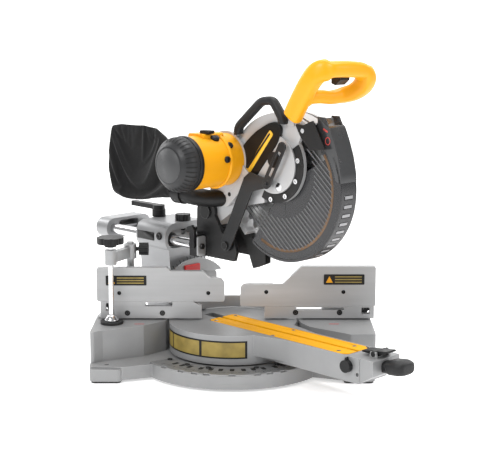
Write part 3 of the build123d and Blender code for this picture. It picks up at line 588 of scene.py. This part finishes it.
def lock_grip():
    """Mitre lock: a slim neck that widens into the grip."""
    stations = smooth_stations([
        ((350, 0, 74), 8), ((356, 0, 74), 10.5), ((384, 0, 74.5), 10.5), ((391, 0, 77), 13),
        ((408, 0, 79), 13.5), ((419, 0, 79), 11.5), ((423, 0, 79), 8)], 4)
    neck_end = 387
    bar = [(p, wide, wide * (1.25 if p[0] < neck_end else 1.75)) for p, wide in stations]
    grip = sweep("lock_grip", bar, "grip_black", "miter_lock", power=3.2, subdivide=True,
                 slot="black_plastic")
    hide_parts("miter_lock_handle")


# ---- dust bag ---------------------------------------------------------------
BAG_BACK = -278
BAG_NECK = -86
BAG_MIDDLE = 62.0
BAG_TOP = [(-278, 438), (-274, 446), (-250, 453), (-180, 456), (-140, 451), (-122, 434),
           (-104, 412), (-86, 372)]
BAG_BOTTOM = [(-278, 372), (-270, 326), (-250, 312), (-230, 307), (-160, 314), (-110, 318),
              (-86, 322)]
NECK_RING = BAG_NECK - 6  # the cloth in front of this is clamped on the neck
SEAM = 3
CLOTH_FRAMES = 26


def seam_height(seam, f):
    """Height of a seam at f, in straight lines between its points."""
    for (f0, z0), (f1, z1) in zip(seam, seam[1:]):
        if f <= f1:
            return z0 + (z1 - z0) * (f - f0) / (f1 - f0)
    return seam[-1][1]


def bag_half_width(f, t):
    """Half the bag's width at f, and at t of the way from the bottom seam to the top one."""
    across = max(0.0, math.sin(math.pi * t)) ** 0.42
    from_back = min(1.0, max(0.0, (f - BAG_BACK) / 26)) ** 0.5
    from_neck = 0.62 + 0.38 * min(1.0, (BAG_NECK - f) / 40)
    return 40 * across * (from_back * from_neck) * (1 - 0.25 * t)


def bag_surface(columns=56, rows=40):
    """Two halves of the bag, joined along the seams and the back edge."""
    index, verts, faces = {}, [], []

    def key(side, i, j):
        return (i, j) if i == 0 or j in (0, rows) else (side, i, j)

    for side in (1, -1):
        for i in range(columns + 1):
            f = BAG_BACK + (BAG_NECK - BAG_BACK) * i / columns
            top, bottom = seam_height(BAG_TOP, f), seam_height(BAG_BOTTOM, f)
            for j in range(rows + 1):
                t = j / rows
                if key(side, i, j) not in index:
                    index[key(side, i, j)] = len(verts)
                    verts.append((f, BAG_MIDDLE + side * bag_half_width(f, t), bottom + (top - bottom) * t))
        for i in range(columns):
            for j in range(rows):
                corners = [(i, j), (i + 1, j), (i + 1, j + 1), (i, j + 1)]
                faces.append([index[key(side, *corner)] for corner in corners[::side]])
    return verts, faces


def bag_hold(f, z):
    """How firmly the cloth is held: at the neck, along the seams and at the back, not between."""
    if f > NECK_RING:
        return 1.0
    if z > seam_height(BAG_TOP, f) - SEAM:
        return 0.95
    if z < seam_height(BAG_BOTTOM, f) + SEAM or f < BAG_BACK + 4:
        return 0.9
    return 0.0


def settle_cloth(bag, drawn):
    """Roughen the cloth a little, let it sag under its own weight, and keep the shape it comes to."""
    hold = bag.vertex_groups.new(name="pin")
    crumple = 1.6
    for vertex in bag.data.vertices:
        f, _, z = drawn[vertex.index]
        if bag_hold(f, z):
            hold.add([vertex.index], bag_hold(f, z), "REPLACE")
        if f <= NECK_RING:
            p = vertex.co * 18
            push = [noise.noise(p + Vector(shift)) for shift in ((0, 0, 0), (5, 0, 0), (0, 7, 0))]
            vertex.co += Vector(push) * MM * crumple
    cloth = bag.modifiers.new("cloth", "CLOTH")
    cloth.settings.quality = 6
    cloth.settings.mass = 0.2
    cloth.settings.tension_stiffness = 18
    cloth.settings.compression_stiffness = 12
    cloth.settings.shear_stiffness = 10
    cloth.settings.bending_stiffness = 1.2
    cloth.settings.vertex_group_mass = "pin"
    cloth.settings.pin_stiffness = 6.0
    cloth.settings.use_pressure = True
    cloth.settings.uniform_pressure_force = 1.2
    cloth.settings.shrink_min = -0.025
    cloth.point_cache.frame_start = 1
    cloth.point_cache.frame_end = CLOTH_FRAMES
    scene = bpy.context.scene
    scene.frame_start, scene.frame_end = 1, CLOTH_FRAMES
    for step in range(1, CLOTH_FRAMES + 1):
        scene.frame_set(step)
    settled = bag.evaluated_get(bpy.context.evaluated_depsgraph_get())
    shape = [vertex.co.copy() for vertex in settled.data.vertices]
    bag.modifiers.remove(cloth)
    for vertex, place in zip(bag.data.vertices, shape):
        vertex.co = place
    scene.frame_set(1)


def dust_bag():
    verts, faces = bag_surface()
    bag = new_mesh("soft_bag", verts, faces, "bag_fabric", "head", slot="bag_fabric")
    settle_cloth(bag, verts)
    add_subdivision(bag)
    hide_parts("dust_bag")


# ---- blank labels and bands -------------------------------------------------
def fence_label(name, x, z, width, height, body):
    """Blank warning plate on a fence's front: plain triangle and plain bars, no lettering."""
    left, right = x - width / 2, x + width / 2
    plate = round_outline(rectangle(left, z - height / 2, right, z + height / 2), 2)
    prism(name, plate, 0, -0.5, "panel_black", body, place=in_frame, smooth=False)
    triangle = [(left + 4, z - height * 0.3), (left + 17, z - height * 0.3),
                (left + 10.5, z + height * 0.32)]
    prism(name + "_triangle", triangle, -0.5, -0.8, "yellow_plastic", body, place=in_frame, smooth=False)
    for k in range(3):
        middle = z + height * (0.26 - 0.26 * k)
        bar = rectangle(left + 21, middle - 1.1, right - 5, middle + 1.1)
        prism(f"{name}_bar{k}", bar, -0.5, -0.7, "panel_gold", body, place=in_frame, smooth=False)


def drum_shell(name, start, stop, bottom, top, radius, look):
    """Thin band round the turntable's drum."""
    rim = arc((0, 0), radius, start, stop, 20)
    ribbons(name, [[((x, y, top), (x, y, bottom)) for x, y in rim]], look, "table", smooth=True,
            place=in_frame)


def drum_band():
    """Black band with plain gold panels in it."""
    radius = 121.4
    drum_shell("drum_band", 188, 283, 46, 79, radius, "panel_black")
    for k, (start, stop) in enumerate(((190, 203), (205, 240), (242.5, 281))):
        drum_shell(f"drum_panel_{k}", start, stop, 49, 76, radius + 0.15, "panel_gold")


def block_marks():
    """Plain red marks on top of the base's two blocks."""
    for k, x in enumerate((-176, 190)):
        mark = rectangle(x - 9, TABLE_TOP + 0.05, x + 9, TABLE_TOP + 0.3)
        prism(f"block_mark_{k}", mark, -34, -31, "mark_red", "base", place=in_frame, smooth=False)


def side_panel():
    """Black crescent on the head's side, with a plain stripe where a name would be."""
    crescent = [(52, 352), (48, 399), (60, 430), (93, 458), (125, 475), (143, 479), (157, 469),
                (150, 443), (116, 402), (88, 368)]
    stripe = [(66, 384), (78, 380), (138, 456), (130, 464)]
    groove = [(70, 391), (75, 389), (131, 456), (128, 458)]
    prism("side_panel", round_outline(crescent, 14), 28.0, 34.2, "panel_black", "head", bevel=0.8)
    prism("side_panel_stripe", round_outline(stripe, 4), 34.2, 34.6, "panel_stripe", "head")
    prism("side_panel_groove", round_outline(groove, 2), 34.6, 34.75, "panel_black", "head")


# ---- lower guard ------------------------------------------------------------
GUARD = "lower_guard_body"
GUARD_FACE = 20.6  # half the guard's width


def guard_ribs():
    """Slanted ribs on the guard's near face, from the round boss out to the rim."""
    along = Vector((0.757, -0.653))
    aside = Vector((0.653, 0.757))
    boss, boss_radius = Vector((143, 385)), 80
    pitch, rim_radius, half_width, shortest = 7.6, 116, 0.95, 8
    verts, faces = [], []
    for k in range(-13, 14):
        middle = Vector(ARBOR) + aside * (k * pitch)
        stop = math.sqrt(rim_radius ** 2 - (k * pitch) ** 2)
        start = -stop
        from_boss = middle - boss
        lean = from_boss.dot(along)
        crossing = lean * lean - (from_boss.dot(from_boss) - boss_radius ** 2)
        if crossing > 0:
            start = max(start, -lean + math.sqrt(crossing))
        if k <= -8:  # the lowest ribs begin further forward
            start = max(start, -62 + (k + 13) * 4)
        if stop - start < shortest:
            continue
        p, q = middle + along * start, middle + along * stop
        half = aside * half_width
        faces += prism_faces(4, len(verts))
        verts += [(c.x, n, c.y) for n in (19.45, 20.4) for c in (p - half, p + half, q + half, q - half)]
    new_mesh("guard_ribs", verts, faces, "rib_grey", GUARD, smooth=False)


def guard_ring(name, inner, outer, start, stop, near, far, look, **options):
    outline = arc(ARBOR, outer, start, stop, 60) + arc(ARBOR, inner, stop, start, 60)
    prism(name, outline, near, far, look, GUARD, **options)


def guard_rings():
    guard_ring("guard_brown_ring", 113.5, 118.5, -118, 34, 18.9, 19.9, "brown_trim")
    guard_ring("guard_lip", 131.5, 136.4, -124, 28, 19.4, GUARD_FACE, "smoked_guard", bevel=0.5)
    guard_ring("guard_lip_far", 131.5, 136.4, -124, 28, -GUARD_FACE, -19.4, "smoked_guard", bevel=0.5)


def guard_hood():
    """Glossy hood over the guard's front: two side plates and the skin between them."""
    outer = [(234, 490)] + arc(ARBOR, 153, 55, 50, 2)
    outer += [(257, 476), (268, 452), (278, 424), (284, 396), (285, 380)]
    side = [(222, 440), (226, 470)] + outer + [(272, 384), (266, 404), (252, 430), (238, 444)]
    for tag, near, far in (("near", 19.5, GUARD_FACE), ("far", -GUARD_FACE, -19.5)):
        prism(f"hood_side_{tag}", round_outline(side, 4, 3), near, far, "hood_black", GUARD, bevel=0.5)
    skin = round_outline(outer, 3, 3) + arc(ARBOR, 134.2, 7, 56, 12)
    prism("hood_skin", skin, -20.2, 20.2, "hood_black", GUARD, bevel=1.2)


def guard_mark():
    """Plain red ring where the photo has a sign."""
    sides = 16
    verts = []
    for wide, high in ((6, 7), (4.6, 5.6)):
        for i in range(sides):
            turn = 2 * math.pi * i / sides
            verts.append((254 + wide * math.cos(turn), 20.8, 452 + high * math.sin(turn)))
    faces = [(i, (i + 1) % sides, sides + (i + 1) % sides, sides + i) for i in range(sides)]
    new_mesh("guard_mark", verts, faces, "mark_red", GUARD, smooth=False)


def rim_slots():
    """Pale slots across the guard's rim, and the red bar beside the ring."""
    strips = []
    for angle in range(-80, 4, 7):
        low, high = polar(ARBOR, 136.75, angle - 1.2), polar(ARBOR, 136.75, angle + 1.2)
        strips.append([[(f, n, z) for f, z in (low, high)] for n in (-10, 10)])
    ribbons("rim_slot_lights", strips, "slot_grey", GUARD)
    bar = [(243, 471), (253, 466), (254, 469), (244, 474)]
    prism("guard_mark_bar", bar, GUARD_FACE, 20.8, "mark_red", GUARD)


# ---- motor ------------------------------------------------------------------
def on_motor(n):
    """Point on the motor's axis."""
    return Vector((MOTOR[0], n, MOTOR[1]))


def motor_radial(angle):
    return Vector((math.cos(angle), 0, math.sin(angle)))


def motor_cap():
    profile = [(0, 46), (0.5, 48.8), (12, 49.2), (20, 47), (27, 41), (31.5, 35), (32.5, 33), (32.5, 0.5)]
    cap = lathe("vented_cap", profile, on_motor(143.2), ALONG_N, "cap_grey", "head", sides=64, bevel=0.4,
                slot="black_plastic")
    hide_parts("motor_cap")


def cap_vents():
    """Dark strips round the cap, painted shade where its vent slots are, with one gap at its upper back."""
    count = 34
    course = ((151, 49.4), (158, 48.8), (165, 46.4), (170.5, 41.5))
    strips = []
    for k in range(count):
        if 0.30 < k / count < 0.36:
            continue
        turn = 2 * math.pi * k / count
        across = Vector((-math.sin(turn), 0, math.cos(turn)))
        strips.append([[on_motor(n) + motor_radial(turn) * (radius + 0.15) + across * half
                        for half in (-1.1, 1.1)] for n, radius in course])
    ribbons("cap_vents", strips, "dark_print_and_shade", "head")


def motor_trim():
    """Plain badge on the cap, bands round the motor, brush holder and screws."""
    lathe("cap_badge", [(0, 31), (0.8, 30.6), (0.8, 0.5)], on_motor(175.6), ALONG_N, "badge_grey", "head",
          sides=48)
    lathe("motor_band", [(0, 49.6), (2.5, 50.2), (7, 50.2), (9, 49.4)], on_motor(134), ALONG_N,
          "black_plastic", "head", sides=64, bevel=0.3)
    lathe("motor_step", [(0, 51.5), (3, 51.5), (5, 49.6)], on_motor(66), ALONG_N, "yellow_plastic", "head",
          sides=64, bevel=0.4)
    brush = [(0, 9), (5, 9), (6.5, 8), (6.5, 0.4)]
    screw = [(0, 6), (5, 6), (6, 5), (6, 0.4)]
    for k, (angle, n, profile) in enumerate(((64, 84, brush), (38, 62, screw), (8, 78, screw))):
        outward = motor_radial(math.radians(angle))
        lathe(f"motor_boss_{k}", profile, on_motor(n) + outward * 46, outward, "black_plastic", "head",
              sides=24)


# ---- rails, clamp and arm ---------------------------------------------------
def rail_trim():
    """Seals where the rails leave the housing, and its blank label and screw."""
    for side in (-1, 1):
        lathe(f"rail_seal_{side}", [(0, 13.6), (3, 13.6), (4, 12.8), (4, 10.1)], (-131.2, side * 39, 233),
              (1, 0, 0), "black_plastic", "rail_housing")
    label = round_outline(rectangle(-208, 229, -158, 245), 2)
    prism("housing_label", label, 59.0, 59.5, "panel_black", "rail_housing")
    screw = [(0, 7.5), (2, 7.5), (3, 6.5), (3, 3.6), (1.6, 3.4), (1.6, 0.3)]
    lathe("housing_screw", screw, (-143, 58.8, 240), ALONG_N, "black_screw", "rail_housing", sides=28)


def clamp_cone():
    """Polished cone between the clamp's rod and its pad."""
    lathe("clamp_pad_cone", [(5, 14), (8, 13), (13, 9), (17, 6.4)], (-228, -26, 89.2), UP, "bright_steel",
          "work_clamp_pad", place=in_frame, sides=32)


def dust_elbow():
    """Bent tube from the dust bag's neck into the head."""
    stations = smooth_stations([
        ((-84, 62, 332), 17), ((-60, 62, 331), 17), ((-38, 59, 329), 17), ((-18, 50, 327), 16.5),
        ((0, 40, 327), 15.5), ((12, 28, 328), 14.5)], 4)
    tube = sweep("elbow_tube", [(p, r, r) for p, r in stations], "black_plastic", "head", sides=28,
                 power=2.0, subdivide=True, slot="black_plastic")
    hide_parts("dust_elbow")


def cast_arm():
    """Cast arm that carries the head, with its rib and screw."""
    arm = [(-18, 320), (-9, 338), (18, 357), (44, 376), (56, 404), (84, 376), (52, 340), (24, 314),
           (-9, 312)]
    rib = [(4, 330), (8, 327), (66, 372), (64, 378)]
    prism("cast_arm", round_outline(arm, 4, 3), 28.0, 38.2, "silver_paint", "head", bevel=1.5)
    prism("cast_arm_rib", rib, 38.2, 38.8, "silver_paint", "head", bevel=0.2)
    lathe("cast_arm_screw", [(0, 4), (0.5, 3.6), (0.5, 0.4)], (30, 38.2, 338), ALONG_N, "dark_print_and_shade",
          "head", sides=20)


# ---- scales, pointer and fence plugs ----------------------------------------
def scale_ticks():
    """Degree marks on the mitre scale, longer at each five and ten."""
    strips = []
    for k in range(-50, 51):
        if abs(k) == 49:  # the last mark stands alone
            continue
        length = 9 if k % 10 == 0 else (6.5 if k % 5 == 0 else 4)
        half = 0.28 if k % 5 else 0.45
        strips.append(spoke(k - 90, ((160, half), (160 + length, half)), 33.06))
    ribbons("scale_ticks", strips, "dark_print_and_shade", "base", place=in_frame)


def scale_notches():
    """Detent notches at the common mitre angles, drawn as flat dark strips: painted shade where the notches
    are.
    """
    angles = (-45, -31.6, -22.5, -15, 0, 15, 22.5, 31.6, 45, -38, 38, 8, -8)
    notch = ((140, 4.2), (152, 4.2), (155, 2.6))
    strips = [spoke(angle - 90, notch, 33.1) for angle in angles]
    ribbons("scale_notches", strips, "dark_print_and_shade", "base", place=in_frame)


def bevel_ticks():
    """Marks on the bevel scale, round the tilt axis at the table's top."""
    lowest = 165
    strips = []
    for k in range(-40, 41, 5):
        turn = math.radians(90 + k)
        c, s = math.cos(turn), math.sin(turn)
        half = 0.6 if k % 10 else 0.8
        strip = [[(-107.9, r * c - w * s, TABLE_TOP + r * s + w * c) for w in (-half, half)]
                 for r in (104, 109 if k % 10 else 112)]
        if strip[0][0][2] > lowest:
            strips.append(strip)
    ribbons("bevel_ticks", strips, "dark_print_and_shade", "table")


def bevel_pointer():
    outline = round_outline(rectangle(-108, 168, -104, 182), 1)
    pointer = prism("red_pointer", outline, -12, 26, "red_plastic", "rail_housing", bevel=0.8,
                    slot="red_plastic")
    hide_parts("bevel_pointer")


def fence_plugs():
    """Dark sockets in the fences' bolt holes."""
    for side, x, z in (("left", -216, 141), ("left", -47, 141), ("right", 63, 143), ("right", 209.4, 143)):
        lathe(f"fence_plug_{side}_{abs(int(x))}", [(0, 3.9), (4.5, 3.9)], (x, 1.5, z), ALONG_N,
              "black_screw", f"{side}_fence", place=in_frame, sides=28)


# ---- the whole saw ----------------------------------------------------------
dress_cad_nodes()
add_floor()
add_lights()
add_camera()
d_handle()
dust_bag()
fence_label("fence_label_left", -202.5, 165.5, 77, 19, "left_fence")
fence_label("fence_label_right", 210.5, 167.5, 77, 20, "right_fence")
drum_band()
block_marks()
side_panel()
guard_ribs()
guard_rings()
guard_hood()
guard_mark()
motor_cap()
cap_vents()
motor_trim()
carry_handle()
rail_trim()
clamp_cone()
lock_grip()
scale_ticks()
scale_notches()
bevel_ticks()
bevel_pointer()
dust_elbow()
cast_arm()
rim_slots()
fence_plugs()
